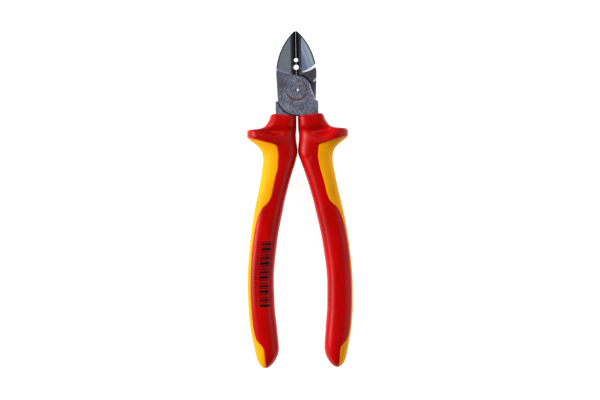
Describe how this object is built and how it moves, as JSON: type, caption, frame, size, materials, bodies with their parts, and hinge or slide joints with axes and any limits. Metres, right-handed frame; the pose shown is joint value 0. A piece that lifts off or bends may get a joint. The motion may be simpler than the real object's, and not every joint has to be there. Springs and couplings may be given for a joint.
{
  "type": "diagonal cutting pliers",
  "caption": "Insulated diagonal cutting pliers: two lapped steel levers on a flush rivet, wire stripping holes on the cutting line, guarded two-colour grips.",
  "frame": {"origin": "on the pivot axis, in the plane of the joint's flat back face", "axes": "+Z along the pivot axis from the back face to the front face, +Y to the cutting tip, +X to the handle of the front lever"},
  "size_m": [0.05, 0.16, 0.0224],
  "materials": {
    "forged_steel": "ground and polished forged tool steel, fine grinding grain",
    "rivet_steel": "ground flush, with a faint brown stain round its edge",
    "sleeve_plastic": "moulded insulation, satin",
    "shell_plastic": "hard red insulation, satin with a fine grain",
    "pad_plastic": "softer amber-yellow insulation, satin"
  },
  "bodies": {
    "rear_half": {"rear_lever": "forged_steel", "joint_rivet": "rivet_steel", "left_tang_sleeve": "sleeve_plastic", "left_grip_shell": "shell_plastic", "left_soft_pad": "pad_plastic"},
    "front_half": {"front_lever": "forged_steel", "right_tang_sleeve": "sleeve_plastic", "right_grip_shell": "shell_plastic", "right_soft_pad": "pad_plastic"}
  },
  "joints": [
    {"name": "pivot", "type": "hinge", "parent": "rear_half", "child": "front_half", "pos_m": [0, 0, 0.005], "axis": [0, 0, 1], "range_deg": [0, 25]}
  ]
}
